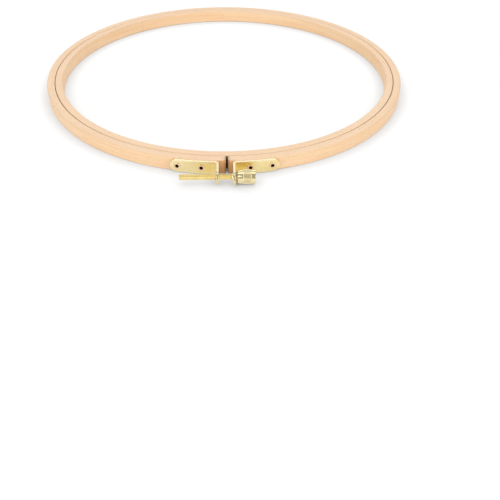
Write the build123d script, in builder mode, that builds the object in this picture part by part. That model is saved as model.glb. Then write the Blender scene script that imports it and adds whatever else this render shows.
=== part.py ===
from build123d import *
from math import cos, pi, sin
import os

# Two-ring embroidery hoop of bent beech with a brass screw clamp.
# Millimetres. The origin is the hoop's centre, half way up its rings, and +Z is up.
# The clamp is at -Y and its knob points to +X.

# Rings
fabric_diameter = 254.0
fabric_gap = 0.3
inner_ring_thickness = 5.3
outer_ring_thickness = 5.4
ring_height = 9.4
ring_edge_radius = 0.6
split_width = 1.3
split_edge_radius = 0.25

# Bent sheet brackets
sheet_thickness = 1.7
sheet_edge_radius = 0.35
sheet_margin = 0.4
sheet_seat_gap = 0.05
bend_radius = 0.8
left_ear_setback = 4.2
right_ear_setback = 2.9
left_plate_length = 29.15
right_plate_length = 27.9
left_ear_tip = 4.7
right_ear_tip = 6.1

# Tubular eyelets through bracket and ring
eyelet_setback = 9.25
eyelet_tip_distance = 4.8
eyelet_bore_radius = 1.15
eyelet_wall = 0.35
eyelet_flange = 0.8
eyelet_flange_thickness = 0.3
eyelet_lip_radius = 0.12
eyelet_clinch = 0.6
eyelet_clinch_thickness = 0.35
eyelet_clearance = 0.03
eyelet_recess_depth = 0.6

# Clamp screw
screw_radius = 1.95
screw_pitch = 0.7
thread_depth = 0.4
thread_flat = 0.1
screw_overhang = 22.35
screw_tip_chamfer = 0.5
thread_runout = 1.0
spigot_length = 7.0
spigot_step = 0.35
spigot_clearance = 0.02
thread_clearance = 0.06
ear_clearance = 0.3

# Washer
washer_rim = 1.6
washer_thickness = 1.0
washer_clearance = 0.08
washer_edge_radius = 0.15

# Knurled knob
knob_radius = 4.2
knob_clearance = 6.75
knob_cone = 2.5
knob_cone_taper = 0.35
knob_neck = 0.9
knob_band = 5.0
knob_back_rim = 2.5
knob_edge_radius = 0.3
knob_dimple_radius = 1.6
knob_dimple_depth = 0.5
knurl_height = 0.17
knurl_root = 0.03
knurl_bevel = 0.4
knurl_count = 44

# Length by which a cut runs past what it cuts
overrun = 2.0

# Worked out from the sizes above
seam_radius = fabric_diameter / 2
inner_ring_outside = seam_radius - fabric_gap / 2
inner_ring_inside = inner_ring_outside - inner_ring_thickness
outer_ring_inside = seam_radius + fabric_gap / 2
outer_ring_outside = outer_ring_inside + outer_ring_thickness
plate_back = outer_ring_outside + sheet_seat_gap
plate_front = plate_back + sheet_thickness
plate_height = ring_height - 2 * sheet_margin
eyelet_radius = eyelet_bore_radius + eyelet_wall
screw_y = -(outer_ring_outside + knob_clearance + knob_radius)


def spot(radius, angle):
    """Point at a radius and an angle in radians, counted from -Y towards +X."""
    return (radius * sin(angle), -radius * cos(angle))


def radial_plane(radius, angle, outward=True):
    """Plane square to the radius at that angle, its X axis going on round the ring."""
    x, y = spot(1, angle)
    away = 1 if angle > 0 else -1
    z_dir = (x, y, 0) if outward else (-x, -y, 0)
    return Plane(origin=(x * radius, y * radius, 0), x_dir=(-y * away, x * away, 0), z_dir=z_dir)


def plate_length(side):
    return left_plate_length if side < 0 else right_plate_length


def ear_face(side):
    """Distance from the middle of the split to the outer face of an ear."""
    setback = left_ear_setback if side < 0 else right_ear_setback
    return split_width / 2 + setback + sheet_thickness


def plate_angle(side, distance):
    """Angle of a point on the plate that far from its ear's outer face."""
    return side * (ear_face(side) + distance) / plate_front


def eyelet_angles(side):
    """Angles of the inner and outer eyelet of the left (-1) or right (1) bracket."""
    near = plate_angle(side, eyelet_setback)
    far = plate_angle(side, plate_length(side) - eyelet_tip_distance)
    return (near, far)


def make_inner_ring():
    with BuildPart() as ring:
        with BuildSketch():
            Circle(inner_ring_outside)
            Circle(inner_ring_inside, mode=Mode.SUBTRACT)
        extrude(amount=ring_height / 2, both=True)
        fillet(ring.edges().filter_by(GeomType.CIRCLE), radius=ring_edge_radius)
    return ring.part


def make_outer_half(side):
    """Half of the outer strip, from the split at the front to the middle of the back."""
    keep = Align.MIN if side > 0 else Align.MAX
    with BuildPart() as half:
        with BuildSketch():
            Circle(outer_ring_outside)
            Circle(outer_ring_inside, mode=Mode.SUBTRACT)
            Rectangle(
                outer_ring_outside + overrun,
                2 * (outer_ring_outside + overrun),
                align=(keep, Align.CENTER),
                mode=Mode.INTERSECT,
            )
            with Locations((0, -outer_ring_outside)):
                Rectangle(split_width, outer_ring_outside, mode=Mode.SUBTRACT)
        extrude(amount=ring_height / 2, both=True)
        fillet(half.edges().filter_by(GeomType.CIRCLE), radius=ring_edge_radius)
        front_end = half.faces().filter_by(Plane.YZ).sort_by(Axis.Y)[0]
        fillet(front_end.edges(), radius=split_edge_radius)
        for angle in eyelet_angles(side):
            with Locations(radial_plane(outer_ring_outside, angle)):
                Hole(eyelet_radius + eyelet_clearance, depth=outer_ring_thickness + overrun)
            with Locations(radial_plane(outer_ring_inside - overrun, angle, outward=False)):
                Hole(
                    eyelet_radius + eyelet_clinch + eyelet_clearance,
                    depth=overrun + eyelet_recess_depth,
                )
    return half.part


def make_bracket(side):
    """Sheet bent into a plate along the ring and an ear whose tip is beyond the screw."""
    ear_back = ear_face(side) - sheet_thickness
    hole_radius = screw_radius + (thread_clearance if side < 0 else ear_clearance)
    ear_reach = -screw_y + (left_ear_tip if side < 0 else right_ear_tip)
    keep = Align.MIN if side > 0 else Align.MAX
    with BuildPart() as bracket:
        with BuildSketch() as outline:
            Circle(plate_front)
            Circle(plate_back, mode=Mode.SUBTRACT)
            with Locations((side * ear_back, 0)):
                Rectangle(
                    sheet_thickness + plate_length(side),
                    plate_front + overrun,
                    align=(keep, Align.MAX),
                    mode=Mode.INTERSECT,
                )
            with Locations((side * ear_back, -ear_reach)):
                Rectangle(
                    sheet_thickness,
                    ear_reach - (plate_back + plate_front) / 2,
                    align=(keep, Align.MIN),
                )
            inside_bend = (side * ear_face(side), -plate_front, 0)
            outside_bend = (side * ear_back, -plate_back, 0)
            fillet(outline.vertices().sort_by_distance(inside_bend)[0], radius=bend_radius)
            fillet(
                outline.vertices().sort_by_distance(outside_bend)[0],
                radius=bend_radius + sheet_thickness,
            )
        extrude(amount=plate_height / 2, both=True)
        ear_plane = Plane(
            origin=(side * (ear_back - overrun), plate_height / 2 - ear_reach, 0),
            x_dir=(0, -1, 0),
            z_dir=(side, 0, 0),
        )
        plate_end = plate_angle(side, plate_length(side) - plate_height / 2)
        plate_plane = radial_plane(plate_back - overrun, plate_end)
        for end_plane in (ear_plane, plate_plane):
            with BuildSketch(end_plane):
                Rectangle(
                    plate_height / 2 + overrun,
                    plate_height + overrun,
                    align=(Align.MIN, Align.CENTER),
                )
                Circle(plate_height / 2, mode=Mode.SUBTRACT)
            extrude(amount=sheet_thickness + 2 * overrun, mode=Mode.SUBTRACT)
        fillet(bracket.edges(), radius=sheet_edge_radius)
        screw_plane = Plane(origin=(side * (ear_face(side) + overrun), screw_y, 0), z_dir=(side, 0, 0))
        with Locations(screw_plane):
            Hole(hole_radius, depth=sheet_thickness + 2 * overrun)
        for angle in eyelet_angles(side):
            with Locations(radial_plane(plate_front, angle)):
                Hole(eyelet_radius + eyelet_clearance, depth=sheet_thickness + overrun)
    return bracket.part


def make_eyelet(angle):
    """Tube with a rolled flange on the bracket and a clinched one inside the ring."""
    seat = plate_front + sheet_seat_gap
    shank = seat - outer_ring_inside
    clinch_top = -shank + eyelet_clinch_thickness
    outward = (*spot(1, angle), 0)
    centre = (*spot(seat, angle), 0)
    flange_radius = eyelet_radius + eyelet_flange
    with BuildPart() as eyelet:
        with BuildSketch(Plane(origin=centre, x_dir=outward, z_dir=(0, 0, 1))) as section:
            with BuildLine():
                Polyline(
                    (-shank, eyelet_bore_radius),
                    (eyelet_flange_thickness, eyelet_bore_radius),
                    (eyelet_flange_thickness, flange_radius),
                    (0, flange_radius),
                    (0, eyelet_radius),
                    (clinch_top, eyelet_radius),
                    (clinch_top, eyelet_radius + eyelet_clinch),
                    (-shank, eyelet_radius + eyelet_clinch),
                    close=True,
                )
            make_face()
            lips = section.vertices().group_by(Axis(centre, outward))[-1]
            fillet(lips, radius=eyelet_lip_radius)
        revolve(axis=Axis(centre, outward))
    return eyelet.part


def make_screw():
    """Screw whose thread is a row of ridges, with a spigot that the knob sits on."""
    tip = -(ear_face(-1) + screw_overhang)
    shoulder = ear_face(1) + washer_thickness
    thread_end = ear_face(1) - sheet_thickness - thread_runout
    ridge_count = int((thread_end - tip - screw_tip_chamfer) / screw_pitch)
    root_radius = screw_radius - thread_depth
    flank = (screw_pitch - 2 * thread_flat) / 2
    first_ridge = thread_end - ridge_count * screw_pitch
    outline = [(tip, 0), (tip, root_radius - screw_tip_chamfer / 2)]
    for ridge in range(ridge_count):
        start = first_ridge + ridge * screw_pitch
        outline.append((start, root_radius))
        outline.append((start + flank, screw_radius))
        outline.append((start + flank + thread_flat, screw_radius))
        outline.append((start + 2 * flank + thread_flat, root_radius))
    outline += [
        (thread_end, root_radius),
        (thread_end + thread_depth, screw_radius),
        (shoulder, screw_radius),
        (shoulder, screw_radius - spigot_step),
        (shoulder + spigot_length, screw_radius - spigot_step),
        (shoulder + spigot_length, 0),
    ]
    with BuildPart() as screw:
        with BuildSketch(Plane(origin=(0, screw_y, 0))):
            with BuildLine():
                Polyline(*outline, close=True)
            make_face()
        revolve(axis=Axis((0, screw_y, 0), (1, 0, 0)))
    return screw.part


def make_washer():
    face = Plane(origin=(ear_face(1), screw_y, 0), z_dir=(1, 0, 0))
    with BuildPart() as washer:
        with BuildSketch(face):
            Circle(screw_radius + washer_clearance + washer_rim)
            Circle(screw_radius + washer_clearance, mode=Mode.SUBTRACT)
        extrude(amount=washer_thickness)
        rims = washer.edges().filter_by(GeomType.CIRCLE).sort_by(SortBy.RADIUS)[-2:]
        fillet(rims, radius=washer_edge_radius)
    return washer.part


def knurl_outline():
    """Points of the knurled band's section, crests and roots by turns."""
    points = []
    for tooth in range(knurl_count):
        crest_angle = 2 * pi * tooth / knurl_count
        root_angle = crest_angle + pi / knurl_count
        crest = knob_radius + knurl_height
        root = knob_radius + knurl_root
        points.append((crest * cos(crest_angle), crest * sin(crest_angle)))
        points.append((root * cos(root_angle), root * sin(root_angle)))
    return points


def make_knob():
    """Thumb knob: a tapered front, a short neck, a knurled band and a plain back rim."""
    front = ear_face(1) + washer_thickness
    cone_end = front + knob_cone
    band_start = cone_end + knob_neck
    band_end = band_start + knob_band
    back = band_end + knob_back_rim
    bore_radius = screw_radius - spigot_step + spigot_clearance
    axis = Axis((0, screw_y, 0), (1, 0, 0))
    with BuildPart() as knob:
        with BuildSketch(Plane(origin=(0, screw_y, 0))) as section:
            with BuildLine():
                Polyline(
                    (front, 0),
                    (front, knob_radius - knob_cone_taper),
                    (cone_end, knob_radius),
                    (back, knob_radius),
                    (back, knob_dimple_radius),
                    (back - knob_dimple_depth, 0),
                    close=True,
                )
            make_face()
            rims = section.vertices().group_by(Axis.Y)[-2:]
            corners = rims[0] + rims[1].sort_by(Axis.X)[-1:]
            fillet(corners, radius=knob_edge_radius)
        revolve(axis=axis)
        with BuildSketch(Plane(origin=(band_start, screw_y, 0), z_dir=(1, 0, 0))):
            Polygon(*knurl_outline(), align=None)
        extrude(amount=knob_band)
        for band_edge, inward in ((band_start, 1), (band_end, -1)):
            with BuildSketch(Plane(origin=(0, screw_y, 0))):
                with BuildLine():
                    Polyline(
                        (band_edge, knob_radius),
                        (band_edge + 2 * inward * knurl_bevel, knob_radius + 2 * knurl_height),
                        (band_edge, knob_radius + 2 * knurl_height),
                        close=True,
                    )
                make_face()
            revolve(axis=axis, mode=Mode.SUBTRACT)
        with BuildSketch(Plane(origin=(front, screw_y, 0), z_dir=(1, 0, 0))):
            Circle(bore_radius)
        extrude(amount=spigot_length, mode=Mode.SUBTRACT)
    return knob.part


pieces = {
    "inner_ring": make_inner_ring(),
    "outer_ring_left": make_outer_half(-1),
    "outer_ring_right": make_outer_half(1),
    "bracket_left": make_bracket(-1),
    "bracket_right": make_bracket(1),
    "clamp_screw": make_screw(),
    "washer": make_washer(),
    "knob": make_knob(),
}
for side, side_name in ((-1, "left"), (1, "right")):
    for angle, place in zip(eyelet_angles(side), ("inner", "outer")):
        pieces[f"eyelet_{side_name}_{place}"] = make_eyelet(angle)

os.makedirs("parts", exist_ok=True)
for name, piece in pieces.items():
    piece.label = name
    export_step(piece, f"parts/{name}.step")
    print(name, "volume", round(piece.volume, 1))
print("screw axis y", round(screw_y, 3))
print("outer ring radius", round(outer_ring_outside, 3))
print("inner ring bore radius", round(inner_ring_inside, 3))
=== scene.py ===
"""Visual model of a two-ring embroidery hoop of bent beech with a brass screw clamp."""

from math import asin, cos, pi, radians, sin, sqrt

import bmesh
import bpy
from mathutils import Matrix, Vector


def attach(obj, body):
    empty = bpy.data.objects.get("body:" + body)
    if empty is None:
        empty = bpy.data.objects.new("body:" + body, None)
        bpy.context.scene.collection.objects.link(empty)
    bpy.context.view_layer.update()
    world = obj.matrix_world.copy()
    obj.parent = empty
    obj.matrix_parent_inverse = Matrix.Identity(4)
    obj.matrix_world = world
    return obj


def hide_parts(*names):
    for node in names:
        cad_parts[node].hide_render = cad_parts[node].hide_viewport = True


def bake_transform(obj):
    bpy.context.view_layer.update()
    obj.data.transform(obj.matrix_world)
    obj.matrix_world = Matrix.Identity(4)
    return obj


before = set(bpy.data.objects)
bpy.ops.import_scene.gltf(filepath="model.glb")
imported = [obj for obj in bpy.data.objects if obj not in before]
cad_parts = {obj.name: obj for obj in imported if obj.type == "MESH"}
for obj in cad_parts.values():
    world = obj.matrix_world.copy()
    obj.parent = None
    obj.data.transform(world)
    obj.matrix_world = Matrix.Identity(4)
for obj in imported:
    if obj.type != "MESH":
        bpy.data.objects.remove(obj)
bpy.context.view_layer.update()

MM = 0.001

# Sizes of the hoop, as in its construction
FABRIC_RADIUS = 127.0 * MM
FABRIC_GAP = 0.3 * MM
INNER_THICKNESS = 5.3 * MM
OUTER_THICKNESS = 5.4 * MM
RING_HEIGHT = 9.4 * MM
RING_EDGE = 0.6 * MM
SPLIT_WIDTH = 1.3 * MM
OUTER_BORE = FABRIC_RADIUS + FABRIC_GAP / 2
OUTER_RADIUS = OUTER_BORE + OUTER_THICKNESS

SHEET = 1.7 * MM
SHEET_EDGE = 0.35 * MM
PLATE_HEIGHT = 8.6 * MM
SEAT_GAP = 0.05 * MM
BEND_RADIUS = 0.8 * MM
EAR_SETBACK = {-1: 4.2 * MM, 1: 2.9 * MM}
EAR_TIP = {-1: 4.7 * MM, 1: 6.1 * MM}
PLATE_LENGTH = {-1: 29.15 * MM, 1: 27.9 * MM}
EYELET_SETBACK = 9.25 * MM
EYELET_TIP = 4.8 * MM
HOLE_LIP = 0.12 * MM
SCREW_HOLE_ROOM = {-1: 0.06 * MM, 1: 0.3 * MM}
PLATE_BACK = OUTER_RADIUS + SEAT_GAP
PLATE_FRONT = PLATE_BACK + SHEET

SCREW_RADIUS = 1.95 * MM
SCREW_PITCH = 0.7 * MM
SCREW_TIP_RADIUS = 1.3 * MM
THREAD_DEPTH = 0.4 * MM
THREAD_STOP = 1.0 * MM
SCREW_OVERHANG = 22.35 * MM
SPIGOT_LENGTH = 7.0 * MM
SPIGOT_RADIUS = 1.6 * MM
WASHER = 1.0 * MM
WASHER_ROOM = 0.08 * MM
WASHER_RIM = 1.6 * MM
KNOB_RADIUS = 4.2 * MM
KNOB_CLEARANCE = 6.75 * MM
SCREW_Y = -(OUTER_RADIUS + KNOB_CLEARANCE + KNOB_RADIUS)

# Points nearer than these are joined, the second where a closed strip's ends meet
WELD = 0.0005 * MM
SEAM_WELD = 0.05 * MM

# Camera, solved from the ellipses of the rings' edges in the 500 by 500 picture
IMAGE_SIZE = 500
SENSOR_WIDTH = 36.0
FOCAL_PIXELS = 646.1
CAMERA_AZIMUTH = radians(-0.052)
CAMERA_ELEVATION = radians(24.6)
CAMERA_DISTANCE = 516.7 * MM
CAMERA_ROLL = radians(0.556)
CENTRE_PIXEL = (225.43, 73.72)


# Node helpers


class Builder:
    """Adds nodes to a tree, each with its inputs linked or set."""

    def __init__(self, tree):
        self.tree = tree

    def add(self, kind, inputs=None, **settings):
        node = self.tree.nodes.new(kind)
        for name, value in settings.items():
            setattr(node, name, value)
        for name, value in (inputs or {}).items():
            self.feed(node.inputs[name], value)
        return node

    def feed(self, socket, value):
        if isinstance(value, bpy.types.NodeSocket):
            self.tree.links.new(value, socket)
        else:
            socket.default_value = value

    def math(self, operation, *values, clamp=False):
        node = self.tree.nodes.new("ShaderNodeMath")
        node.operation = operation
        node.use_clamp = clamp
        for socket, value in zip(node.inputs, values):
            self.feed(socket, value)
        return node.outputs[0]

    def ramp(self, value, low, high):
        """0 at low and 1 at high, with a smooth turn at each end."""
        node = self.add("ShaderNodeMapRange", {"Value": value, "From Min": low, "From Max": high})
        node.interpolation_type = "SMOOTHSTEP"
        return node.outputs["Result"]

    def vector(self, x, y, z):
        return self.add("ShaderNodeCombineXYZ", {"X": x, "Y": y, "Z": z}).outputs[0]

    def parts(self, vector):
        return self.add("ShaderNodeSeparateXYZ", {"Vector": vector}).outputs

    def in_millimetres(self, vector):
        inputs = {0: vector, 1: (1 / MM, 1 / MM, 1 / MM)}
        return self.add("ShaderNodeVectorMath", inputs, operation="MULTIPLY").outputs[0]

    def noise(self, vector, scale=1.0, detail=2.0, roughness=0.5):
        inputs = {"Vector": vector, "Scale": scale, "Detail": detail, "Roughness": roughness}
        return self.add("ShaderNodeTexNoise", inputs).outputs[0]

    def mix(self, factor, a, b, blend="MIX"):
        node = self.add("ShaderNodeMix", data_type="RGBA", blend_type=blend)
        self.feed(node.inputs[0], factor)
        self.feed(node.inputs[6], a)
        self.feed(node.inputs[7], b)
        return node.outputs[2]

    def tint(self, colour, other, mask, share):
        """Turns the colour to the other by that share, where the mask is 1."""
        return self.mix(self.math("MULTIPLY", mask, share), colour, other)


def geometry_tree(name, sockets):
    """Empty geometry tree with named inputs, and its builder and group input."""
    tree = bpy.data.node_groups.new(name, "GeometryNodeTree")
    tree.interface.new_socket("Geometry", in_out="OUTPUT", socket_type="NodeSocketGeometry")
    for label, kind in sockets.items():
        tree.interface.new_socket(label, in_out="INPUT", socket_type=f"NodeSocket{kind}")
    build = Builder(tree)
    return build, build.add("NodeGroupInput").outputs


def end_tree(build, geometry, material):
    """Ends a tree with its geometry made real and dressed in the material."""
    real = build.add("GeometryNodeRealizeInstances", {"Geometry": geometry})
    inputs = {"Geometry": real.outputs[0], "Material": material}
    dressed = build.add("GeometryNodeSetMaterial", inputs)
    build.add("NodeGroupOutput", {"Geometry": dressed.outputs[0]})
    return build.tree


def grow(name, tree, values):
    """Runs a geometry tree with these values and returns its result as a plain mesh."""
    seed = bpy.data.objects.new(name + "_seed", bpy.data.meshes.new(name + "_seed"))
    bpy.context.scene.collection.objects.link(seed)
    modifier = seed.modifiers.new("grow", "NODES")
    modifier.node_group = tree
    for item in tree.interface.items_tree:
        if item.in_out == "INPUT":
            modifier[item.identifier] = values[item.name]
    seed.update_tag()
    evaluated = seed.evaluated_get(bpy.context.evaluated_depsgraph_get())
    mesh = bpy.data.meshes.new_from_object(evaluated)
    mesh.name = name
    bpy.data.objects.remove(seed)
    return mesh


def place(name, mesh, material=None):
    piece = bpy.data.objects.new(name, mesh)
    bpy.context.scene.collection.objects.link(piece)
    if material:
        mesh.materials.clear()
        mesh.materials.append(material)
    return piece


def weigh_normals(piece):
    """Lets flat faces stay flat and rounded edges carry the turn of the light."""
    piece.modifiers.new("weigh", "WEIGHTED_NORMAL").weight = 80
    evaluated = piece.evaluated_get(bpy.context.evaluated_depsgraph_get())
    piece.modifiers.clear()
    piece.data = bpy.data.meshes.new_from_object(evaluated)
    return piece


def smooth(mesh, angle=radians(40)):
    mesh.shade_smooth()
    mesh.set_sharp_from_angle(angle=angle)


# Materials


def shader_group(name, inputs, outputs):
    tree = bpy.data.node_groups.new(name, "ShaderNodeTree")
    for label, kind in inputs.items():
        tree.interface.new_socket(label, in_out="INPUT", socket_type=f"NodeSocket{kind}")
    for label, kind in outputs.items():
        tree.interface.new_socket(label, in_out="OUTPUT", socket_type=f"NodeSocket{kind}")
    build = Builder(tree)
    return build, build.add("NodeGroupInput").outputs


def make_grain_group():
    """Fine pale grain of bent beech. Grain is metres along, across and up the strip."""
    inputs = {"Grain": "Vector", "Pale": "Color", "Deep": "Color", "Fleck": "Color"}
    outputs = {"Color": "Color", "Height": "Float", "Roughness": "Float"}
    build, given = shader_group("beech_grain", inputs, outputs)
    along, across, up = build.parts(build.in_millimetres(given["Grain"]))[:]

    def stretched(length, width, detail=2.0, roughness=0.5):
        point = build.vector(
            build.math("DIVIDE", along, length),
            build.math("DIVIDE", across, width),
            build.math("DIVIDE", up, width),
        )
        return build.noise(point, detail=detail, roughness=roughness)

    tone = stretched(70.0, 7.0)
    bands = stretched(45.0, 1.1, detail=3.0)
    fibres = stretched(9.0, 0.22, detail=2.0, roughness=0.6)
    flecks = build.ramp(stretched(1.6, 0.22, detail=0.0), 0.66, 0.76)
    amount = build.math(
        "ADD",
        build.math("MULTIPLY", build.ramp(tone, 0.3, 0.7), 0.45),
        build.math("MULTIPLY", build.ramp(bands, 0.35, 0.68), 0.55),
    )
    colour = build.mix(amount, given["Pale"], given["Deep"])
    shade = build.math("ADD", build.math("MULTIPLY", fibres, 0.16), 0.92)
    grey = build.vector(shade, shade, shade)
    colour = build.mix(1.0, colour, grey, blend="MULTIPLY")
    colour = build.mix(build.math("MULTIPLY", flecks, 0.45), colour, given["Fleck"])
    height = build.math("SUBTRACT", fibres, build.math("MULTIPLY", flecks, 0.5))
    rough = build.math("ADD", build.math("MULTIPLY", bands, 0.16), 0.4)
    build.add("NodeGroupOutput", {"Color": colour, "Height": height, "Roughness": rough})
    return build.tree


def make_finish_group():
    """Tarnish clouds, fine drawn lines and specks on brass. Point is in metres."""
    inputs = {
        "Point": "Vector",
        "Bright": "Color",
        "Dull": "Color",
        "Line Length": "Float",
        "Line Width": "Float",
        "Roughness Low": "Float",
        "Roughness High": "Float",
    }
    outputs = {"Color": "Color", "Height": "Float", "Roughness": "Float"}
    build, given = shader_group("brass_finish", inputs, outputs)
    point = build.in_millimetres(given["Point"])
    x, y, z = build.parts(point)[:]
    clouds = build.ramp(build.noise(point, scale=0.35, detail=4.0, roughness=0.6), 0.35, 0.72)
    drawn = build.vector(
        build.math("DIVIDE", x, given["Line Length"]),
        build.math("DIVIDE", y, given["Line Width"]),
        build.math("DIVIDE", z, given["Line Width"]),
    )
    lines = build.noise(drawn, detail=2.0, roughness=0.6)
    specks = build.ramp(build.noise(point, scale=2.6, detail=1.0), 0.68, 0.78)
    dull = build.math("MULTIPLY", clouds, 0.6)
    dull = build.math("ADD", dull, build.math("MULTIPLY", build.ramp(lines, 0.45, 0.8), 0.25))
    dull = build.math("ADD", dull, build.math("MULTIPLY", specks, 0.4), clamp=True)
    colour = build.mix(dull, given["Bright"], given["Dull"])
    spread = build.math("SUBTRACT", given["Roughness High"], given["Roughness Low"])
    mixed = build.math("MULTIPLY", build.math("ADD", clouds, lines), 0.5)
    rough = build.math("ADD", given["Roughness Low"], build.math("MULTIPLY", mixed, spread))
    height = build.math("SUBTRACT", lines, build.math("MULTIPLY", specks, 0.4))
    build.add("NodeGroupOutput", {"Color": colour, "Height": height, "Roughness": rough})
    return build.tree


GRAIN_GROUP = make_grain_group()
FINISH_GROUP = make_finish_group()


def new_material(name):
    material = bpy.data.materials.new(name)
    material.use_nodes = True
    build = Builder(material.node_tree)
    material.node_tree.nodes.clear()
    shader = build.add("ShaderNodeBsdfPrincipled")
    build.add("ShaderNodeOutputMaterial", {"Surface": shader.outputs[0]})
    return material, build, shader


def add_bump(build, shader, height, strength, distance):
    bump = build.add("ShaderNodeBump", {"Height": height, "Strength": strength, "Distance": distance})
    build.feed(shader.inputs["Normal"], bump.outputs[0])


BEECH_PALE = (0.955, 0.69, 0.435, 1)
BEECH_DEEP = (0.90, 0.585, 0.325, 1)
BEECH_FLECK = (0.60, 0.33, 0.17, 1)
BEECH_PAINTED_SHEEN = (0.97, 0.75, 0.56, 1)
BEECH_PAINTED_CREVICE_SHADE = (0.24, 0.08, 0.02, 1)
BEECH_EDGE_LINE = (0.72, 0.50, 0.36, 1)
BEECH_PAINTED_SHADE_BY_EARS = (0.72, 0.34, 0.09, 1)
BEECH_END_GRAIN_AND_SHADE = (0.38, 0.13, 0.03, 1)
BEECH_GLUE = (0.50, 0.28, 0.14, 1)
JOINT_PLACE = 95 * MM
JOINT_SLOPE = 6.0


def make_beech(name, thickness, length, joint_at=None):
    """Satin beech with painted sheen on top, painted shade in narrow gaps and between the ears,
    darker edge lines, and either two cut ends or one glued joint.
    """
    material, build, shader = new_material(name)
    grain = build.add("ShaderNodeAttribute", attribute_name="grain").outputs["Vector"]
    along, across, up = build.parts(grain)[:]
    wood = build.add("ShaderNodeGroup", node_tree=GRAIN_GROUP)
    build.feed(wood.inputs["Grain"], grain)
    wood.inputs["Pale"].default_value = BEECH_PALE
    wood.inputs["Deep"].default_value = BEECH_DEEP
    wood.inputs["Fleck"].default_value = BEECH_FLECK
    top = RING_HEIGHT / 2
    wall = thickness / 2
    height = build.math("ABSOLUTE", up)
    # Painted sheen: the top face is tinted paler
    painted_sheen_on_top = build.ramp(height, top - 0.4 * MM, top - 0.1 * MM)
    colour = build.tint(wood.outputs["Color"], BEECH_PAINTED_SHEEN, painted_sheen_on_top, 0.3)
    # Painted shade: the wood turns dark where ambient occlusion finds close surfaces, as in the split
    # and between the rings, and its sheen drops there too
    open_sky = build.add("ShaderNodeAmbientOcclusion", {"Distance": 7 * MM}).outputs["AO"]
    painted_crevice_shade = build.math("SUBTRACT", 1.0, build.ramp(open_sky, 0.02, 0.42))
    colour = build.tint(colour, BEECH_PAINTED_CREVICE_SHADE, painted_crevice_shade, 0.85)
    # A darker, greyer line along the rounded edges between the top and the walls
    near_wall = build.ramp(build.math("ABSOLUTE", across), wall - 0.7 * MM, wall)
    near_top = build.ramp(height, top - 0.7 * MM, top)
    edge = build.math("MULTIPLY", near_wall, near_top)
    colour = build.tint(colour, BEECH_EDGE_LINE, edge, 0.55)
    if joint_at is None:
        from_cut = build.math("MINIMUM", along, build.math("SUBTRACT", length, along))
        # Painted shade, with painted brass-coloured reflected light, on the outer wall near each cut
        # end, between the ears
        painted_shade_by_ears = build.math("SUBTRACT", 1.0, build.ramp(from_cut, 3.0 * MM, 6.0 * MM))
        outside = build.ramp(across, wall - 0.5 * MM, wall - 0.1 * MM)
        colour = build.tint(colour, BEECH_PAINTED_SHADE_BY_EARS, build.math("MULTIPLY", painted_shade_by_ears, outside), 0.55)
        # The cut ends are darker end grain, and painted shade of the narrow split
        cut = build.math("LESS_THAN", from_cut, 0.03 * MM)
        colour = build.tint(colour, BEECH_END_GRAIN_AND_SHADE, cut, 0.9)
    else:
        line = build.math("SUBTRACT", along, build.math("MULTIPLY", across, JOINT_SLOPE))
        away = build.math("ABSOLUTE", build.math("SUBTRACT", line, joint_at))
        joint = build.math("SUBTRACT", 1.0, build.ramp(away, 0.3 * MM, 0.9 * MM))
        colour = build.tint(colour, BEECH_GLUE, joint, 0.16)
    build.feed(shader.inputs["Base Color"], colour)
    build.feed(shader.inputs["Roughness"], wood.outputs["Roughness"])
    sheen = build.math("SUBTRACT", 0.5, build.math("MULTIPLY", painted_crevice_shade, 0.5))
    build.feed(shader.inputs["Specular IOR Level"], sheen)
    add_bump(build, shader, wood.outputs["Height"], 0.25, 0.08 * MM)
    return material


BRASS_PAINTED_REFLECTION = (0.93, 0.62, 0.13, 1)
BRASS_PAINTED_HIGHLIGHT = (0.86, 0.77, 0.54, 1)
BRASS_PAINTED_EAR_SHADE = (0.76, 0.63, 0.40, 1)
PAINTED_REFLECTION_SHARE = {-1: 0.45, 1: 0.75}
TIP_HIGHLIGHT_SHARE = {-1: 0.85, 1: 0.3}
TIP_HIGHLIGHT_REACH = 18 * MM
DRAWN_LINE = (6.0, 0.12)


def paint_light_on_blank(build, point, colour, blank):
    """Painted light on the sheet: a painted reflection of shade in deeper brass by the bend, painted
    highlights on the edges and tip, and painted shade on the ear.
    """
    s, z, n = build.parts(point)[:]
    rim = PLATE_HEIGHT / 2
    height = build.math("ABSOLUTE", z)
    # Painted reflection of shade: deeper brass on the face before the bend, away from the rims
    painted_reflection = build.ramp(s, blank.plate - 12 * MM, blank.plate - 8.5 * MM)
    before_ear = build.math("LESS_THAN", s, blank.plate + blank.corner)
    painted_reflection = build.math("MULTIPLY", painted_reflection, before_ear)
    on_face = build.ramp(n, SHEET / 2 - 0.15 * MM, SHEET / 2)
    painted_reflection = build.math("MULTIPLY", painted_reflection, on_face)
    near_rim = build.ramp(height, rim - 1.6 * MM, rim - 0.6 * MM)
    painted_reflection = build.math("MULTIPLY", painted_reflection, build.math("SUBTRACT", 1.0, near_rim))
    colour = build.tint(colour, BRASS_PAINTED_REFLECTION, painted_reflection, PAINTED_REFLECTION_SHARE[blank.side])
    # Painted highlights: paler brass along the rolled top and bottom edges, and fading in from the
    # tip
    painted_edge_highlight = build.ramp(height, rim - 0.9 * MM, rim - 0.3 * MM)
    from_tip = build.math("DIVIDE", s, TIP_HIGHLIGHT_REACH)
    tip = build.math("SUBTRACT", TIP_HIGHLIGHT_SHARE[blank.side], from_tip, clamp=True)
    colour = build.tint(colour, BRASS_PAINTED_HIGHLIGHT, build.math("MAXIMUM", painted_edge_highlight, tip), 0.65)
    # Painted shade: the ear, bent from the same sheet, takes a darker, greyer brass
    ear = build.math("GREATER_THAN", s, blank.plate + blank.corner / 2)
    return build.tint(colour, BRASS_PAINTED_EAR_SHADE, ear, 0.7)


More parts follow.
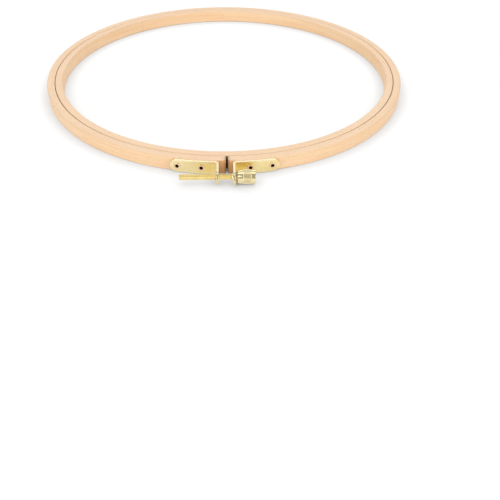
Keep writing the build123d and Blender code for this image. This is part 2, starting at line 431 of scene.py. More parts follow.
def make_brass(name, bright, dull, low, high, blank=None):
    """Brass of one finish, with painted light and shade along its blank where it is bent sheet."""
    material, build, shader = new_material(name)
    if blank:
        point = build.add("ShaderNodeAttribute", attribute_name="drawn").outputs["Vector"]
    else:
        point = build.add("ShaderNodeTexCoord").outputs["Object"]
    finish = build.add("ShaderNodeGroup", node_tree=FINISH_GROUP)
    build.feed(finish.inputs["Point"], point)
    finish.inputs["Bright"].default_value = bright
    finish.inputs["Dull"].default_value = dull
    finish.inputs["Line Length"].default_value = DRAWN_LINE[0]
    finish.inputs["Line Width"].default_value = DRAWN_LINE[1]
    finish.inputs["Roughness Low"].default_value = low
    finish.inputs["Roughness High"].default_value = high
    colour = finish.outputs["Color"]
    if blank:
        colour = paint_light_on_blank(build, point, colour, blank)
    build.feed(shader.inputs["Base Color"], colour)
    build.feed(shader.inputs["Roughness"], finish.outputs["Roughness"])
    shader.inputs["Metallic"].default_value = 1.0
    add_bump(build, shader, finish.outputs["Height"], 0.12, 0.03 * MM)
    return material


# Rings


def make_strip_tree():
    """Strip of rounded section bent to an arc, with its grain lengths as an attribute."""
    sockets = {
        "Middle Radius": "Float",
        "Thickness": "Float",
        "Height": "Float",
        "Edge Radius": "Float",
        "Start Angle": "Float",
        "Sweep": "Float",
        "Steps": "Int",
        "Closed": "Bool",
        "Material": "Material",
    }
    build, given = geometry_tree("bent_strip", sockets)
    arc = build.add(
        "GeometryNodeCurveArc",
        {
            "Resolution": given["Steps"],
            "Radius": given["Middle Radius"],
            "Start Angle": given["Start Angle"],
            "Sweep Angle": given["Sweep"],
        },
    )
    capture = build.add("GeometryNodeCaptureAttribute", {"Geometry": arc.outputs["Curve"]})
    capture.capture_items.new("FLOAT", "Along")
    length = build.add("GeometryNodeSplineParameter").outputs["Length"]
    build.feed(capture.inputs["Along"], length)
    section = build.add(
        "GeometryNodeCurvePrimitiveQuadrilateral",
        {"Width": given["Thickness"], "Height": given["Height"]},
    )
    rounded = build.add(
        "GeometryNodeFilletCurve",
        {"Curve": section.outputs[0], "Radius": given["Edge Radius"], "Count": 5},
        mode="POLY",
    )
    open_ends = build.math("SUBTRACT", 1.0, given["Closed"])
    swept = build.add(
        "GeometryNodeCurveToMesh",
        {
            "Curve": capture.outputs["Geometry"],
            "Profile Curve": rounded.outputs[0],
            "Fill Caps": open_ends,
        },
    )
    x, y, z = build.parts(build.add("GeometryNodeInputPosition").outputs[0])[:]
    squares = build.math("ADD", build.math("POWER", x, 2.0), build.math("POWER", y, 2.0))
    radius = build.math("SQRT", squares)
    across = build.math("SUBTRACT", radius, given["Middle Radius"])
    stored = build.add(
        "GeometryNodeStoreNamedAttribute",
        {
            "Geometry": swept.outputs[0],
            "Name": "grain",
            "Value": build.vector(capture.outputs["Along"], across, z),
        },
        data_type="FLOAT_VECTOR",
        domain="CORNER",
    )
    merged = build.add(
        "GeometryNodeMergeByDistance", {"Geometry": stored.outputs[0], "Distance": SEAM_WELD}
    )
    return end_tree(build, merged.outputs[0], given["Material"])


STRIP_TREE = make_strip_tree()
RING_STEPS = 361
outer_middle = OUTER_BORE + OUTER_THICKNESS / 2
inner_middle = FABRIC_RADIUS - FABRIC_GAP / 2 - INNER_THICKNESS / 2
half_split = asin(SPLIT_WIDTH / 2 / outer_middle)
outer_sweep = 2 * pi - 2 * half_split

beech_outer = make_beech("beech_outer", OUTER_THICKNESS, outer_sweep * outer_middle)
beech_inner = make_beech("beech_inner", INNER_THICKNESS, 2 * pi * inner_middle, JOINT_PLACE)


def make_strip(name, middle, thickness, start, sweep, closed, material):
    values = {
        "Middle Radius": middle,
        "Thickness": thickness,
        "Height": RING_HEIGHT,
        "Edge Radius": RING_EDGE,
        "Start Angle": start,
        "Sweep": sweep,
        "Steps": RING_STEPS,
        "Closed": closed,
        "Material": material,
    }
    mesh = grow(name, STRIP_TREE, values)
    smooth(mesh)
    return place(name, mesh)


outer_start = half_split - pi / 2
outer_strip = make_strip(
    "outer_ring_strip", outer_middle, OUTER_THICKNESS, outer_start, outer_sweep, False, beech_outer
)
inner_strip = make_strip(
    "inner_ring_strip", inner_middle, INNER_THICKNESS, pi / 2, 2 * pi, True, beech_inner
)
weigh_normals(inner_strip)
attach(inner_strip, "inner")
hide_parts("inner_ring")


# Turned pieces


def soften(outline, steps=4):
    """Rounds the corners of an outline of (along, radius, corner radius) points."""
    points = []
    count = len(outline)
    for index, (x, r, corner) in enumerate(outline):
        if corner == 0:
            points.append((x, r))
            continue
        here = Vector((x, r))
        before = Vector(outline[index - 1][:2])
        after = Vector(outline[(index + 1) % count][:2])
        to_before = (before - here).normalized()
        to_after = (after - here).normalized()
        half = to_before.angle(to_after) / 2
        reach = corner / (sin(half) / cos(half))
        centre = here + (to_before + to_after).normalized() * (corner / sin(half))
        first = here + to_before * reach - centre
        last = here + to_after * reach - centre
        turn = first.angle_signed(last)
        for step in range(steps + 1):
            arm = first.copy()
            arm.rotate(Matrix.Rotation(-turn * step / steps, 2))
            points.append(tuple(centre + arm))
    return points


def turned(name, outline, origin, direction, steps=64, closed=True):
    """Turns an outline of (along, radius) points about an axis."""
    axis = Vector(direction).normalized()
    side = axis.orthogonal().normalized()
    other = axis.cross(side)
    shape = bmesh.new()
    rings = []
    for along, radius in outline:
        centre = Vector(origin) + axis * along
        if radius < 1e-7:
            rings.append([shape.verts.new(centre)] * steps)
            continue
        ring = []
        for step in range(steps):
            angle = 2 * pi * step / steps
            arm = (side * cos(angle) + other * sin(angle)) * radius
            ring.append(shape.verts.new(centre + arm))
        rings.append(ring)
    pairs = list(zip(rings, rings[1:]))
    if closed:
        pairs.append((rings[-1], rings[0]))
    for low, high in pairs:
        for step in range(steps):
            after = (step + 1) % steps
            corners = []
            for vertex in (low[step], low[after], high[after], high[step]):
                if vertex not in corners:
                    corners.append(vertex)
            if len(corners) > 2:
                shape.faces.new(corners)
    bmesh.ops.recalc_face_normals(shape, faces=shape.faces)
    mesh = bpy.data.meshes.new(name)
    shape.to_mesh(mesh)
    shape.free()
    return mesh


# Brackets


def ear_face(side):
    return SPLIT_WIDTH / 2 + EAR_SETBACK[side] + SHEET


def eyelet_angles(side):
    near = (ear_face(side) + EYELET_SETBACK) / PLATE_FRONT
    far = (ear_face(side) + PLATE_LENGTH[side] - EYELET_TIP) / PLATE_FRONT
    return near, far


EYELET_RADIUS = 1.5 * MM
EYELET_CLEARANCE = 0.03 * MM


class Blank:
    """Middle line of a bracket: round the ring, through the bend and out along the ear."""

    def __init__(self, side):
        self.side = side
        self.middle = PLATE_BACK + SHEET / 2
        self.bend = BEND_RADIUS + SHEET / 2
        self.ear_x = ear_face(side) - SHEET / 2
        self.turn_in = asin((self.ear_x + self.bend) / (self.middle + self.bend))
        self.centre = (
            self.ear_x + self.bend,
            -sqrt((self.middle + self.bend) ** 2 - (self.ear_x + self.bend) ** 2),
        )
        half = PLATE_HEIGHT / 2
        tip = (ear_face(side) + PLATE_LENGTH[side] - half) / PLATE_FRONT + half / self.middle
        self.tip = tip
        self.plate = self.middle * (tip - self.turn_in)
        self.corner = self.bend * (pi / 2 - self.turn_in)
        self.length = self.plate + self.corner + (-SCREW_Y + EAR_TIP[side] + self.centre[1])

    def hole(self, angle):
        """Place along the blank of a hole at that angle round the ring."""
        return self.middle * (self.tip - angle)

    def screw_hole(self):
        return self.plate + self.corner + (-SCREW_Y + self.centre[1])

    def turn(self, s):
        """Angle at s between straight ahead and the way that the blank's face looks."""
        if s <= self.plate:
            return self.tip - s / self.middle
        return min(self.turn_in + (s - self.plate) / self.bend, pi / 2)

    def outward(self, s):
        return Vector((self.side * sin(self.turn(s)), -cos(self.turn(s)), 0))

    def bent(self, s, z, n):
        """Where a point of the flat blank goes: s along, z up, n out of its middle."""
        angle = self.turn(s)
        if s <= self.plate:
            radius = self.middle + n
            x, y = radius * sin(angle), -radius * cos(angle)
        elif s <= self.plate + self.corner:
            radius = self.bend - n
            x = self.centre[0] - radius * sin(angle)
            y = self.centre[1] + radius * cos(angle)
        else:
            x = self.ear_x + n
            y = self.centre[1] - (s - self.plate - self.corner)
        return Vector((x * self.side, y, z))


def stadium(length, height, inset, steps):
    """Outline of a round-ended blank, drawn in by the inset."""
    radius = height / 2
    points = []
    for centre, start in ((length - radius, -pi / 2), (radius, pi / 2)):
        for step in range(steps + 1):
            angle = start + pi * step / steps
            points.append((centre + (radius - inset) * cos(angle), (radius - inset) * sin(angle)))
    return points


def circle(centre, radius, steps):
    return [
        (centre + radius * cos(2 * pi * step / steps), radius * sin(2 * pi * step / steps))
        for step in range(steps)
    ]


def true_faces(bracket, blank):
    """Gives the two faces of a bent blank the exact turn of its bends."""
    mesh = bracket.data
    drawn = [item.vector.copy() for item in mesh.attributes["drawn"].data]
    normals = [corner.vector.copy() for corner in mesh.corner_normals]
    surface = SHEET / 2 - 0.001 * MM
    for face in mesh.polygons:
        levels = [drawn[vertex].z for vertex in face.vertices]
        if min(levels) > surface or max(levels) < -surface:
            for corner, vertex in zip(face.loop_indices, face.vertices):
                outward = blank.outward(drawn[vertex].x)
                normals[corner] = outward if levels[0] > 0 else -outward
    mesh.normals_split_custom_set(normals)
    return bracket


def make_bracket(name, side, material):
    """Flat blank with rolled edges and drilled holes, cut across and then bent."""
    blank = Blank(side)
    half = SHEET / 2
    round_steps = 5
    end_steps = 18
    hole_steps = 40
    shape = bmesh.new()

    def loop(points, n):
        return [shape.verts.new((s, z, n)) for s, z in points]

    def wall(low, high):
        count = len(low)
        for index in range(count):
            after = (index + 1) % count
            shape.faces.new((low[index], low[after], high[after], high[index]))

    edge_loops = []
    for step in range(round_steps + 1):
        angle = pi / 2 * step / round_steps
        edge_loops.append((SHEET_EDGE * (1 - cos(angle)), half - SHEET_EDGE * (1 - sin(angle))))
    levels = [(inset, -n) for inset, n in reversed(edge_loops)] + edge_loops
    rims = [loop(stadium(blank.length, PLATE_HEIGHT, inset, end_steps), n) for inset, n in levels]
    for low, high in zip(rims, rims[1:]):
        wall(low, high)
    holes = [(blank.hole(angle), EYELET_RADIUS + EYELET_CLEARANCE) for angle in eyelet_angles(side)]
    holes.append((blank.screw_hole(), SCREW_RADIUS + SCREW_HOLE_ROOM[side]))
    bottoms, tops = [rims[0]], [rims[-1]]
    for centre, radius in holes:
        mouth = circle(centre, radius + HOLE_LIP, hole_steps)
        throat = circle(centre, radius, hole_steps)
        bore = [
            loop(mouth, -half),
            loop(throat, -half + HOLE_LIP),
            loop(throat, half - HOLE_LIP),
            loop(mouth, half),
        ]
        for low, high in zip(bore, bore[1:]):
            wall(low, high)
        bottoms.append(bore[0])
        tops.append(bore[-1])
    for loops in (bottoms, tops):
        edges = []
        for ring in loops:
            edges += [
                shape.edges.get((ring[index - 1], ring[index])) for index in range(len(ring))
            ]
        bmesh.ops.triangle_fill(shape, edges=edges, use_beauty=True)
    plate_cuts = 26
    bend_cuts = 12
    cuts = [blank.plate * step / plate_cuts for step in range(1, plate_cuts + 1)]
    cuts += [blank.plate + blank.corner * step / bend_cuts for step in range(1, bend_cuts + 1)]
    for cut in cuts:
        geometry = shape.verts[:] + shape.edges[:] + shape.faces[:]
        bmesh.ops.bisect_plane(
            shape, geom=geometry, dist=WELD, plane_co=(cut, 0, 0), plane_no=(1, 0, 0)
        )
    bmesh.ops.remove_doubles(shape, verts=shape.verts, dist=WELD)
    bmesh.ops.recalc_face_normals(shape, faces=shape.faces)
    drawn = shape.verts.layers.float_vector.new("drawn")
    for vertex in shape.verts:
        s, z, n = vertex.co
        vertex[drawn] = (s, z, n)
        vertex.co = blank.bent(s, z, n)
    # Bending the right blank this way mirrors it, which turns its faces inwards
    if side > 0:
        bmesh.ops.reverse_faces(shape, faces=shape.faces)
    mesh = bpy.data.meshes.new(name)
    shape.to_mesh(mesh)
    shape.free()
    smooth(mesh, radians(35))
    return true_faces(weigh_normals(place(name, mesh, material)), blank)


eyelet_brass = make_brass("eyelet_brass", (0.86, 0.66, 0.40, 1), (0.74, 0.50, 0.27, 1), 0.22, 0.36)
# Near-black brass in the eyelets' bores is painted shade of the deep, narrow holes
eyelet_painted_shade = make_brass("eyelet_bore", (0.26, 0.07, 0.005, 1), (0.18, 0.045, 0.002, 1), 0.5, 0.7)
screw_brass = make_brass("screw_brass", (0.95, 0.84, 0.52, 1), (0.88, 0.73, 0.38, 1), 0.12, 0.22)
# The washer's dark brass is painted shade of the narrow gap between the ear and the knob
washer_brass = make_brass("washer_brass", (0.50, 0.38, 0.19, 1), (0.38, 0.27, 0.12, 1), 0.3, 0.45)
knob_brass = make_brass("knob_brass", (0.89, 0.78, 0.47, 1), (0.81, 0.68, 0.36, 1), 0.09, 0.16)
knurl_brass = make_brass("knurl_brass", (0.92, 0.80, 0.49, 1), (0.85, 0.71, 0.39, 1), 0.26, 0.4)

BRACKET_BRIGHT = (0.90, 0.74, 0.38, 1)
BRACKET_DULL = (0.83, 0.63, 0.26, 1)

for side, side_name in ((-1, "left"), (1, "right")):
    bracket_brass = make_brass(
        f"bracket_brass_{side_name}", BRACKET_BRIGHT, BRACKET_DULL, 0.2, 0.36, Blank(side)
    )
    bracket = make_bracket(f"bracket_plate_{side_name}", side, bracket_brass)
    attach(bracket, f"outer_{side_name}")
    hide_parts(f"bracket_{side_name}")


# Eyelets

EYELET_BORE = 1.15 * MM
EYELET_SEAT = PLATE_FRONT + SEAT_GAP
EYELET_FLANGE = 0.8 * MM
EYELET_FLANGE_HEIGHT = 0.3 * MM
EYELET_CLINCH = 0.6 * MM
EYELET_CLINCH_HEIGHT = 0.35 * MM
EYELET_RECESS = 0.6 * MM
EYELET_EDGE = 0.1 * MM
EYELET_LIP = 0.12 * MM
EYELET_ROLL = 0.2 * MM


def make_eyelet(name, angle):
    """Tube with a rolled flange outside and a clinched one inside the ring."""
    outward = Vector((sin(angle), -cos(angle), 0))
    shank = EYELET_SEAT - OUTER_BORE
    flange = EYELET_RADIUS + EYELET_FLANGE
    clinch = EYELET_RADIUS + EYELET_CLINCH
    outline = [
        (-shank, EYELET_BORE, EYELET_EDGE),
        (EYELET_FLANGE_HEIGHT, EYELET_BORE, EYELET_LIP),
        (EYELET_FLANGE_HEIGHT, flange, EYELET_ROLL),
        (0, flange, EYELET_EDGE),
        (0, EYELET_RADIUS, 0),
        (-shank + EYELET_CLINCH_HEIGHT, EYELET_RADIUS, 0),
        (-shank + EYELET_CLINCH_HEIGHT, clinch, EYELET_EDGE),
        (-shank, clinch, EYELET_EDGE),
    ]
    mesh = turned(name, soften(outline), outward * EYELET_SEAT, outward, steps=48)
    smooth(mesh, radians(50))
    eyelet = place(name, mesh, eyelet_brass)
    # The faces inside the bore take the painted shade
    mesh.materials.append(eyelet_painted_shade)
    bore_reach = EYELET_BORE + 0.03 * MM
    bore_top = EYELET_FLANGE_HEIGHT * 0.35
    for face in mesh.polygons:
        arm = face.center - outward * face.center.dot(outward)
        height = face.center.dot(outward) - EYELET_SEAT
        if arm.length < bore_reach and height < bore_top:
            face.material_index = 1
    return weigh_normals(eyelet)


for side, side_name in ((-1, "left"), (1, "right")):
    for angle, spot in zip(eyelet_angles(side), ("inner", "outer")):
        eyelet = make_eyelet(f"eyelet_ring_{side_name}_{spot}", angle * side)
        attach(eyelet, f"outer_{side_name}")
        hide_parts(f"eyelet_{side_name}_{spot}")


def bore_strip(strip):
    """Drills the strip for its eyelets, with a recess inside for each clinched end."""
    hole = EYELET_RADIUS + EYELET_CLEARANCE
    recess = hole + EYELET_CLINCH
    past = 1.0 * MM
    outline = [
        (-past, 0),
        (-past, recess),
        (EYELET_RECESS, recess),
        (EYELET_RECESS, hole),
        (OUTER_THICKNESS + past, hole),
        (OUTER_THICKNESS + past, 0),
    ]
    for side in (-1, 1):
        for angle in eyelet_angles(side):
            outward = Vector((side * sin(angle), -cos(angle), 0))
            mouth = outward * OUTER_BORE
            drill = place("drill", turned("drill", outline, mouth, outward, 32, closed=False))
            cut = strip.modifiers.new("cut", "BOOLEAN")
            cut.object = drill
            cut.solver = "EXACT"
            evaluated = strip.evaluated_get(bpy.context.evaluated_depsgraph_get())
            bored = bpy.data.meshes.new_from_object(evaluated)
            strip.modifiers.clear()
            strip.data = bored
            bpy.data.objects.remove(drill)
    smooth(strip.data)
    return weigh_normals(strip)


bore_strip(outer_strip)
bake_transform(outer_strip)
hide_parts("outer_ring_left", "outer_ring_right")


# Screw

SCREW_TIP = -(ear_face(-1) + SCREW_OVERHANG)
SHOULDER = ear_face(1) + WASHER
THREAD_END = ear_face(1) - SHEET - THREAD_STOP


def make_thread_tree():
    """Helical thread as a grid wound on the screw, cut square at its ends."""
    sockets = {
        "Tip": "Float",
        "Thread End": "Float",
        "Shoulder": "Float",
        "Pitch": "Float",
        "Radius": "Float",
        "Depth": "Float",
        "Tip Radius": "Float",
        "Rows Each Turn": "Int",
        "Columns": "Int",
        "Axis Y": "Float",
        "Material": "Material",
    }
    build, given = geometry_tree("screw_thread", sockets)
    start = build.math("SUBTRACT", given["Tip"], build.math("MULTIPLY", given["Pitch"], 2.0))
    start = build.math("FLOOR", build.math("DIVIDE", start, given["Pitch"]))
    start = build.math("MULTIPLY", start, given["Pitch"])
    reach = build.math("SUBTRACT", given["Shoulder"], start)
    turns = build.math("CEIL", build.math("DIVIDE", reach, given["Pitch"]))
    row_count = build.math("ADD", build.math("MULTIPLY", turns, given["Rows Each Turn"]), 1.0)
    size = build.math("MULTIPLY", turns, given["Pitch"])
    grid = build.add(
        "GeometryNodeMeshGrid",
        {
            "Size X": size,
            "Size Y": 1.0,
            "Vertices X": row_count,
            "Vertices Y": build.math("ADD", given["Columns"], 1.0),
        },
    )
    x, y = build.parts(build.add("GeometryNodeInputPosition").outputs[0])[:2]
    row = build.math("ADD", build.math("ADD", x, build.math("DIVIDE", size, 2.0)), start)
    share = build.math("ADD", y, 0.5)
    lead = build.math("MULTIPLY", share, given["Pitch"])
    along = build.math("ADD", row, lead)
    held = build.math("MINIMUM", build.math("MAXIMUM", along, given["Tip"]), given["Shoulder"])
    turned_by = build.math("DIVIDE", build.math("SUBTRACT", held, lead), given["Pitch"])
    phase = build.math("FRACT", turned_by)
    from_crest = build.math("ABSOLUTE", build.math("SUBTRACT", phase, 0.5))
    # The clamp leaves a narrow flat on each crest and root, with the flanks between
    rise = build.math("SUBTRACT", 1.15, build.math("MULTIPLY", from_crest, 2.6), clamp=True)
    runout = build.math(
        "DIVIDE", build.math("SUBTRACT", held, given["Thread End"]), given["Pitch"], clamp=True
    )
    rise = build.math("MAXIMUM", rise, runout)
    root = build.math("SUBTRACT", given["Radius"], given["Depth"])
    radius = build.math("ADD", root, build.math("MULTIPLY", rise, given["Depth"]))
    from_tip = build.math("SUBTRACT", held, given["Tip"])
    cone = build.math("ADD", given["Tip Radius"], build.math("MULTIPLY", from_tip, 1.2))
    radius = build.math("MINIMUM", radius, cone)
    # The first row of the grid shrinks to the axis and closes the tip
    past_start = build.math("ADD", start, build.math("MULTIPLY", given["Pitch"], 0.05))
    first_row = build.math("LESS_THAN", row, past_start)
    radius = build.math("MULTIPLY", radius, build.math("SUBTRACT", 1.0, first_row))
    angle = build.math("MULTIPLY", share, 2 * pi)
    from_axis = build.math("MULTIPLY", radius, build.math("COSINE", angle))
    place_y = build.math("ADD", given["Axis Y"], from_axis)
    place_z = build.math("MULTIPLY", radius, build.math("SINE", angle))
    wound = build.add(
        "GeometryNodeSetPosition",
        {"Geometry": grid.outputs["Mesh"], "Position": build.vector(held, place_y, place_z)},
    )
    merged = build.add(
        "GeometryNodeMergeByDistance", {"Geometry": wound.outputs[0], "Distance": WELD}
    )
    return end_tree(build, merged.outputs[0], given["Material"])


def make_screw(name):
    values = {
        "Tip": SCREW_TIP,
        "Thread End": THREAD_END,
        "Shoulder": SHOULDER,
        "Pitch": SCREW_PITCH,
        "Radius": SCREW_RADIUS,
        "Depth": THREAD_DEPTH,
        "Tip Radius": SCREW_TIP_RADIUS,
        "Rows Each Turn": 8,
        "Columns": 40,
        "Axis Y": SCREW_Y,
        "Material": screw_brass,
    }
    mesh = grow(name, make_thread_tree(), values)
    shape = bmesh.new()
    shape.from_mesh(mesh)
    rim = [edge for edge in shape.edges if edge.is_boundary]
    axis = Vector((0, SCREW_Y, 0))
    for step_x, step_radius in ((0, SPIGOT_RADIUS), (SPIGOT_LENGTH, SPIGOT_RADIUS)):
        grown = bmesh.ops.extrude_edge_only(shape, edges=rim)["geom"]
        for vertex in (item for item in grown if isinstance(item, bmesh.types.BMVert)):
            arm = Vector((0, vertex.co.y, vertex.co.z)) - axis
            vertex.co = axis + arm.normalized() * step_radius + Vector((vertex.co.x + step_x, 0, 0))
        rim = [item for item in grown if isinstance(item, bmesh.types.BMEdge) and item.is_boundary]
    bmesh.ops.edgeloop_fill(shape, edges=rim)
    bmesh.ops.recalc_face_normals(shape, faces=shape.faces)
    shape.to_mesh(mesh)
    shape.free()
    smooth(mesh, radians(50))
    return place(name, mesh)


screw = make_screw("clamp_screw_threaded")
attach(screw, "screw")
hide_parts("clamp_screw")


# Washer

WASHER_BORE = SCREW_RADIUS + WASHER_ROOM
washer_outline = [
    (0, WASHER_BORE, 0.05 * MM),
    (WASHER, WASHER_BORE, 0.05 * MM),
    (WASHER, WASHER_BORE + WASHER_RIM, 0.2 * MM),
    (0, WASHER_BORE + WASHER_RIM, 0.2 * MM),
]
washer_seat = (ear_face(1), SCREW_Y, 0)
washer_mesh = turned("washer_ring", soften(washer_outline), washer_seat, (1, 0, 0))
smooth(washer_mesh)
washer = weigh_normals(place("washer_ring", washer_mesh, washer_brass))
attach(washer, "washer")
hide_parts("washer")


# Knob

KNOB_CONE = 2.5 * MM
KNOB_CONE_TAPER = 0.35 * MM
KNOB_NECK = 0.9 * MM
KNOB_BAND = 5.0 * MM
KNOB_RIM = 2.5 * MM
KNOB_GROOVE = 0.08 * MM
KNOB_BORE = SPIGOT_RADIUS + 0.02 * MM
KNOB_DISH_RADIUS = 1.6 * MM
KNOB_DISH_DEPTH = 0.5 * MM
KNURL_COUNT = 44
KNURL_HEIGHT = 0.17 * MM
KNURL_BEVEL = 0.4 * MM


def make_knurl_tree():
    """Straight ridges round a band, each a small roof with bevelled ends."""
    sockets = {
        "Count": "Int",
        "Band Radius": "Float",
        "Band Length": "Float",
        "Height": "Float",
        "Bevel": "Float",
        "Middle X": "Float",
        "Axis Y": "Float",
        "Material": "Material",
    }
    build, given = geometry_tree("knurl_ridges", sockets)
    width = build.math(
        "DIVIDE", build.math("MULTIPLY", given["Band Radius"], 2 * pi * 0.98), given["Count"]
    )
    block = build.add(
        "GeometryNodeMeshCube",
        {
            "Size": build.vector(given["Band Length"], width, 1.0),
            "Vertices X": 4,
            "Vertices Y": 2,
            "Vertices Z": 2,
        },
    )
    x, y, z = build.parts(build.add("GeometryNodeInputPosition").outputs[0])[:]
    half = build.math("DIVIDE", given["Band Length"], 2.0)
    from_middle = build.math("ABSOLUTE", x)
    at_end = build.math("GREATER_THAN", from_middle, build.math("MULTIPLY", half, 0.8))
    inside = build.math("SUBTRACT", 1.0, at_end)
    above = build.math("GREATER_THAN", z, 0.0)
    reach = build.math("SUBTRACT", half, build.math("MULTIPLY", inside, given["Bevel"]))
    new_x = build.math("MULTIPLY", build.math("SIGN", x), reach)
    new_y = build.math("MULTIPLY", y, build.math("SUBTRACT", 1.0, build.math("MULTIPLY", above, 0.8)))
    crest = build.math("MULTIPLY", build.math("MULTIPLY", above, inside), given["Height"])
    foot = build.math("MULTIPLY", build.math("SUBTRACT", 1.0, above), -0.1 * MM)
    new_z = build.math("ADD", crest, foot)
    ridge = build.add(
        "GeometryNodeSetPosition",
        {"Geometry": block.outputs["Mesh"], "Position": build.vector(new_x, new_y, new_z)},
    )
    lifted = build.add(
        "GeometryNodeTransform",
        {"Geometry": ridge.outputs[0], "Translation": build.vector(0.0, 0.0, given["Band Radius"])},
    )
    dots = build.add("GeometryNodeMeshLine", {"Count": given["Count"], "Offset": (0, 0, 0)})
    index = build.add("GeometryNodeInputIndex").outputs[0]
    turn = build.math("DIVIDE", build.math("MULTIPLY", index, 2 * pi), given["Count"])
    ring = build.add(
        "GeometryNodeInstanceOnPoints",
        {
            "Points": dots.outputs["Mesh"],
            "Instance": lifted.outputs[0],
            "Rotation": build.vector(turn, 0.0, 0.0),
        },
    )
    moved = build.add(
        "GeometryNodeTransform",
        {
            "Geometry": ring.outputs[0],
            "Translation": build.vector(given["Middle X"], given["Axis Y"], 0.0),
        },
    )
    flat = build.add(
        "GeometryNodeSetShadeSmooth", {"Geometry": moved.outputs[0], "Shade Smooth": False}
    )
    return end_tree(build, flat.outputs[0], given["Material"])


def make_knob(name):
    """Turned body with a tapered front, a neck, a knurled band and a plain back rim."""
    band = KNOB_CONE + KNOB_NECK
    back = band + KNOB_BAND
    end = back + KNOB_RIM
    outline = [
        (0, KNOB_BORE, 0.1 * MM),
        (0, KNOB_RADIUS - KNOB_CONE_TAPER, 0.25 * MM),
        (KNOB_CONE, KNOB_RADIUS, 0.3 * MM),
        (band - KNOB_GROOVE, KNOB_RADIUS, 0.05 * MM),
        (band, KNOB_RADIUS - KNOB_GROOVE, 0.02 * MM),
        (band + KNOB_GROOVE, KNOB_RADIUS, 0.02 * MM),
        (back - KNOB_GROOVE, KNOB_RADIUS, 0.02 * MM),
        (back, KNOB_RADIUS - KNOB_GROOVE, 0.02 * MM),
        (back + KNOB_GROOVE, KNOB_RADIUS, 0.05 * MM),
        (end, KNOB_RADIUS, 0.2 * MM),
        (end, KNOB_DISH_RADIUS, 0.15 * MM),
        (end - KNOB_DISH_DEPTH, 0, 0),
        (SPIGOT_LENGTH, 0, 0),
        (SPIGOT_LENGTH, KNOB_BORE, 0),
    ]
    mesh = turned(name, soften(outline), (SHOULDER, SCREW_Y, 0), (1, 0, 0), steps=96)
    smooth(mesh)
    knob = weigh_normals(place(name, mesh, knob_brass))
    values = {
        "Count": KNURL_COUNT,
        "Band Radius": KNOB_RADIUS,
        "Band Length": KNOB_BAND,
        "Height": KNURL_HEIGHT,
        "Bevel": KNURL_BEVEL,
        "Middle X": SHOULDER + band + KNOB_BAND / 2,
        "Axis Y": SCREW_Y,
        "Material": knurl_brass,
    }
    ridges = place(name + "_knurl", grow(name + "_knurl", make_knurl_tree(), values))
    return knob, ridges


knob, knurl = make_knob("knob_turned")
for piece in (knob, knurl):
    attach(piece, "screw")
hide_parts("knob")


# Stage, light and camera

FLOOR_Z = -RING_HEIGHT / 2
FLOOR_HALF = 6.0
FLOOR_GREY = (0.8, 0.8, 0.8, 1)
WHITE = (1, 1, 1, 1)
WORLD_LIGHT = 0.46


def make_floor():
    """White floor that keeps the hoop's soft shadow, and shows white in the brass."""
    mesh = bpy.data.meshes.new("floor")
    corners = [(-1, -1), (1, -1), (1, 1), (-1, 1)]
    points = [(x * FLOOR_HALF, y * FLOOR_HALF, FLOOR_Z) for x, y in corners]
    mesh.from_pydata(points, [], [(0, 1, 2, 3)])
    material = bpy.data.materials.new("floor_white")
    material.use_nodes = True
    build = Builder(material.node_tree)
    material.node_tree.nodes.clear()
    paths = build.add("ShaderNodeLightPath").outputs
    mirrored = build.math("MAXIMUM", paths["Is Glossy Ray"], paths["Is Transmission Ray"])
    plain = build.add("ShaderNodeBsdfDiffuse", {"Color": FLOOR_GREY})
    # Painted shadow: the glow falls where a piece stands close, and most of all in a narrow gap
    painted_shadow_ao = build.add("ShaderNodeAmbientOcclusion", {"Distance": 9 * MM}).outputs["AO"]
    clear = build.math("MULTIPLY", build.ramp(painted_shadow_ao, 0.0, 0.3), 0.48)
    glow = build.math("ADD", build.math("MULTIPLY", painted_shadow_ao, 0.65), clear)
    glow = build.math("MAXIMUM", glow, mirrored)
    white = build.add("ShaderNodeEmission", {"Color": WHITE, "Strength": glow})
    # Beyond the lamps' reach the floor glows alone, so that it ends in the white world
    point = build.add("ShaderNodeTexCoord").outputs["Object"]
    away = build.add("ShaderNodeVectorMath", {0: point}, operation="LENGTH").outputs["Value"]
    seen = build.math("ADD", build.math("MULTIPLY", build.ramp(away, 0.5, 0.8), 0.3), 0.7)
    share = build.math("MULTIPLY", paths["Is Camera Ray"], seen)
    share = build.math("ADD", share, build.math("MULTIPLY", mirrored, 0.8))
    blend = build.add("ShaderNodeMixShader", {0: share, 1: plain.outputs[0], 2: white.outputs[0]})
    build.add("ShaderNodeOutputMaterial", {"Surface": blend.outputs[0]})
    floor = place("floor", mesh, material)


def make_world():
    world = bpy.data.worlds.new("studio")
    bpy.context.scene.world = world
    world.use_nodes = True
    build = Builder(world.node_tree)
    world.node_tree.nodes.clear()
    paths = build.add("ShaderNodeLightPath").outputs
    seen = paths["Is Camera Ray"]
    strength = build.math("ADD", build.math("MULTIPLY", seen, 1.0 - WORLD_LIGHT), WORLD_LIGHT)
    background = build.add("ShaderNodeBackground", {"Color": WHITE, "Strength": strength})
    build.add("ShaderNodeOutputWorld", {"Surface": background.outputs[0]})


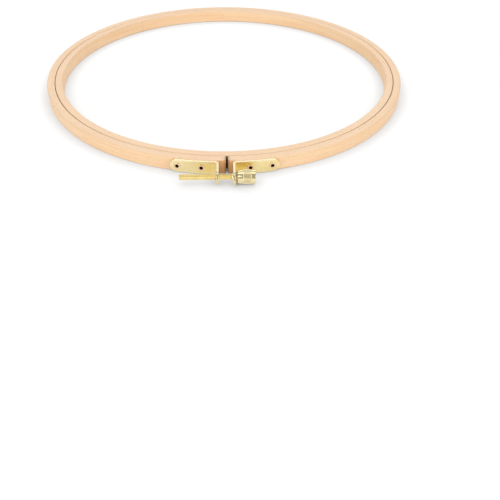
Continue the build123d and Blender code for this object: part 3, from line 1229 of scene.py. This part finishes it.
def add_softbox(name, place_at, width, height, power):
    """Rectangle of light, in metres and watts, turned to the hoop's centre."""
    lamp = bpy.data.lights.new(name, "AREA")
    lamp.shape = "RECTANGLE"
    lamp.size = width
    lamp.size_y = height
    lamp.energy = power
    softbox = bpy.data.objects.new(name, lamp)
    softbox.location = place_at
    softbox.rotation_mode = "QUATERNION"
    softbox.rotation_quaternion = (-Vector(place_at)).to_track_quat("-Z", "Y")
    bpy.context.scene.collection.objects.link(softbox)


def make_camera():
    """Camera that sees the hoop's centre at its place in the picture, with no shift."""
    a, e = CAMERA_AZIMUTH, CAMERA_ELEVATION
    back = Vector((sin(a) * cos(e), -cos(a) * cos(e), sin(e)))
    ahead = -back
    right = ahead.cross(Vector((0, 0, 1))).normalized()
    down = ahead.cross(right)
    turned_right = right * cos(CAMERA_ROLL) + down * sin(CAMERA_ROLL)
    turned_down = -right * sin(CAMERA_ROLL) + down * cos(CAMERA_ROLL)
    axes = Matrix((turned_right, turned_down, ahead))
    half = IMAGE_SIZE / 2
    towards = Vector((CENTRE_PIXEL[0] - half, CENTRE_PIXEL[1] - half, FOCAL_PIXELS)).normalized()
    swing = Vector((0, 0, 1)).rotation_difference(towards).to_matrix()
    axes = swing @ axes
    camera_data = bpy.data.cameras.new("camera")
    camera_data.sensor_width = SENSOR_WIDTH
    camera_data.lens = FOCAL_PIXELS / IMAGE_SIZE * SENSOR_WIDTH
    camera_data.clip_start = 10 * MM
    camera = bpy.data.objects.new("camera", camera_data)
    columns = Matrix((axes[0], -axes[1], -axes[2])).transposed()
    camera.matrix_world = Matrix.Translation(back * CAMERA_DISTANCE) @ columns.to_4x4()
    bpy.context.scene.collection.objects.link(camera)
    bpy.context.scene.camera = camera


make_floor()
make_world()
add_softbox("overhead_softbox", (0, 0, 1.2), 1.6, 0.7, 3.2)
add_softbox("back_softbox", (0, 1.3, 0.85), 2.2, 0.9, 5.9)
for side in (-1, 1):
    add_softbox("front_softbox", (0.98 * side, -0.98, 0.56), 1.4, 1.2, 9.0)
make_camera()
bpy.context.scene.view_settings.view_transform = "Standard"
